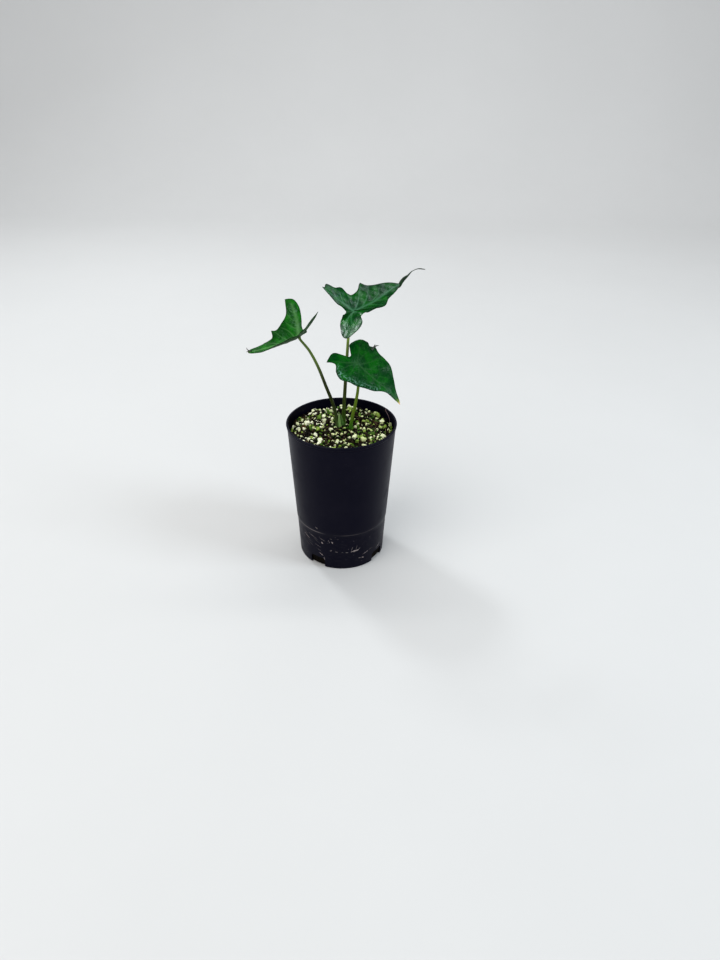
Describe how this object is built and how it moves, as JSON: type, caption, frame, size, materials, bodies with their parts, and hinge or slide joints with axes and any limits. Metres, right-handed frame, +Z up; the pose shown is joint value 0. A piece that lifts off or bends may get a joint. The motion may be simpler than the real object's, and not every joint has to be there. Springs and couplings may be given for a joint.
{
  "type": "potted alocasia",
  "caption": "Young alocasia with glossy dark green arrow-shaped leaves on slim stalks, in a black tapered nursery pot of perlite mix.",
  "frame": {"origin": "centre of the pot's underside, on the surface that it stands on", "axes": "+Z up, +X to the right of the plant's front, +Y away from its front"},
  "size_m": [0.1411, 0.096, 0.2555],
  "materials": {
    "pot_plastic": "satin",
    "mix": "matte",
    "corm": "matte",
    "stalk_olive": "satin",
    "stalk_green": "satin",
    "leaf": "satin"
  },
  "bodies": {
    "root": {"pot": "pot_plastic", "potting_mix": "mix", "rootstock": "corm", "stalk_tall": "stalk_olive", "stalk_left": "stalk_olive", "stalk_front": "stalk_green", "blade_tall": "leaf", "blade_left": "leaf", "blade_front": "leaf"}
  },
  "joints": []
}
